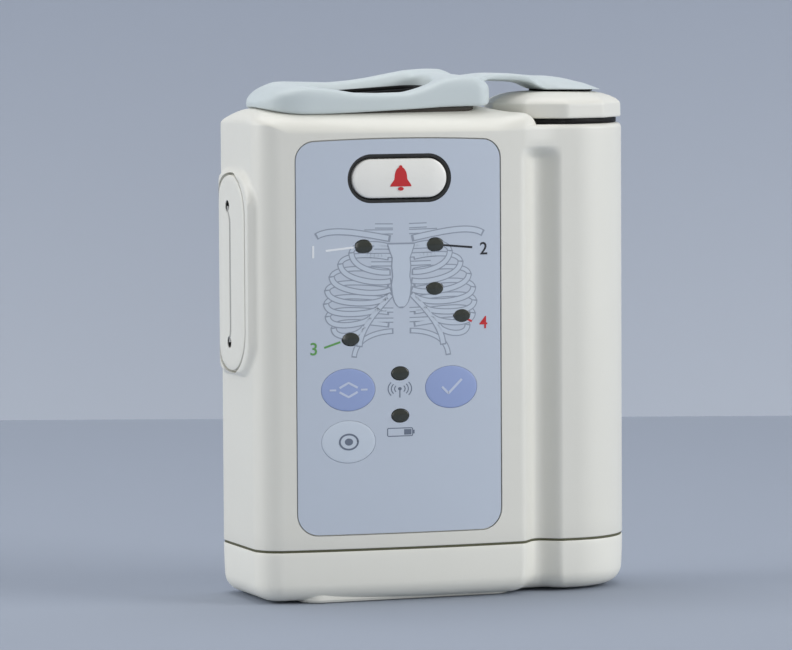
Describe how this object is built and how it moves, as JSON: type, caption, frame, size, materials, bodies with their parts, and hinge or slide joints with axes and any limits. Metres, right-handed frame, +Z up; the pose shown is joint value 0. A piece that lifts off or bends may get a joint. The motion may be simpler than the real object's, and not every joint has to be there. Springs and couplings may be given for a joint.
{
  "type": "patient telemetry transmitter",
  "caption": "Patient-worn heart-signal transmitter with lamps and keys on its front, a lead socket and rubber strap on top, and a battery tube with a quarter-turn cap",
  "frame": {"origin": "middle of the footprint, on the surface that the pack stands on", "axes": "+Z up to the strap, the front with the keys faces -Y, the battery tube is at +X"},
  "size_m": [0.098, 0.0382, 0.1263],
  "materials": {
    "case_plastic": "fine satin texture",
    "button_plastic": "smooth satin",
    "overlay_film": "fine velvet film",
    "key_blue": "fine velvet film",
    "key_pale": "fine velvet film",
    "window_smoked": "dark clear window",
    "moulded_black": "moulded",
    "seal_rubber": "matt seal",
    "seal_black": "matt seal",
    "strap_rubber": "soft satin",
    "board_green": "solder mask",
    "plated_steel": "plated",
    "contact_gold": "gold plated",
    "cell_wrap": "plain wrap"
  },
  "bodies": {
    "case": {"antenna_plate": "contact_gold", "battery_cell_back": "cell_wrap", "battery_cell_front": "cell_wrap", "battery_sleeve": "moulded_black", "beeper": "moulded_black", "board_screw_1": "plated_steel", "board_screw_2": "plated_steel", "bottom_cover": "case_plastic", "call_button_bezel": "moulded_black", "call_switch": "moulded_black", "case_screw_1": "plated_steel", "case_screw_2": "plated_steel", "case_screw_3": "plated_steel", "case_screw_4": "plated_steel", "cell_contact_plate": "plated_steel", "cell_contact_spring": "plated_steel", "check_key_dome": "plated_steel", "cover_screw_1": "moulded_black", "cover_screw_2": "moulded_black", "lead_lamp_window_1": "window_smoked", "lead_lamp_window_2": "window_smoked", "lead_lamp_window_3": "window_smoked", "lead_lamp_window_4": "window_smoked", "lead_lamp_window_5": "window_smoked", "lead_lamp_window_6": "window_smoked", "lead_lamp_window_7": "window_smoked", "lead_pin_1": "contact_gold", "lead_pin_2": "contact_gold", "lead_pin_3": "contact_gold", "lead_pin_4": "contact_gold", "lead_pin_5": "contact_gold", "lead_socket": "moulded_black", "main_board": "board_green", "main_shell": "case_plastic", "overlay": "overlay_film", "radio_shield": "plated_steel", "record_key_dome": "plated_steel", "seam_gasket": "seal_rubber", "select_key_dome": "plated_steel", "service_connector": "moulded_black", "side_cover": "case_plastic", "strap_loop": "strap_rubber", "strap_screw_1": "plated_steel", "strap_screw_2": "plated_steel", "strap_tongue": "strap_rubber"},
    "call_button": {"call_button": "button_plastic"},
    "select_key": {"select_key": "key_blue"},
    "check_key": {"check_key": "key_blue"},
    "record_key": {"record_key": "key_pale"},
    "strap_end": {"strap_disc": "strap_rubber"},
    "cap": {"battery_cap": "case_plastic", "cap_gasket": "seal_black", "cap_contact": "plated_steel"}
  },
  "joints": [
    {"name": "call_button_press", "type": "slide", "parent": "case", "child": "call_button", "axis": [0, 1, 0], "range_m": [0, 0.0008], "stiffness_N_per_m": 2000},
    {"name": "select_key_press", "type": "slide", "parent": "case", "child": "select_key", "axis": [0, 1, 0], "range_m": [0, 0.0004], "stiffness_N_per_m": 2000},
    {"name": "check_key_press", "type": "slide", "parent": "case", "child": "check_key", "axis": [0, 1, 0], "range_m": [0, 0.0004], "stiffness_N_per_m": 2000},
    {"name": "record_key_press", "type": "slide", "parent": "case", "child": "record_key", "axis": [0, 1, 0], "range_m": [0, 0.0004], "stiffness_N_per_m": 2000},
    {"name": "cap_lift", "type": "slide", "parent": "case", "child": "strap_end", "axis": [0, 0, 1], "range_m": [0, 0.00121]},
    {"name": "cap_turn", "type": "hinge", "parent": "strap_end", "child": "cap", "pos_m": [0.0325, 0, 0.1145], "axis": [0, 0, 1], "range_deg": [0, 90]}
  ],
  "couplings": [
    {"joint": "cap_lift", "follows": "cap_turn", "m_per_rad": 0.000764}
  ]
}
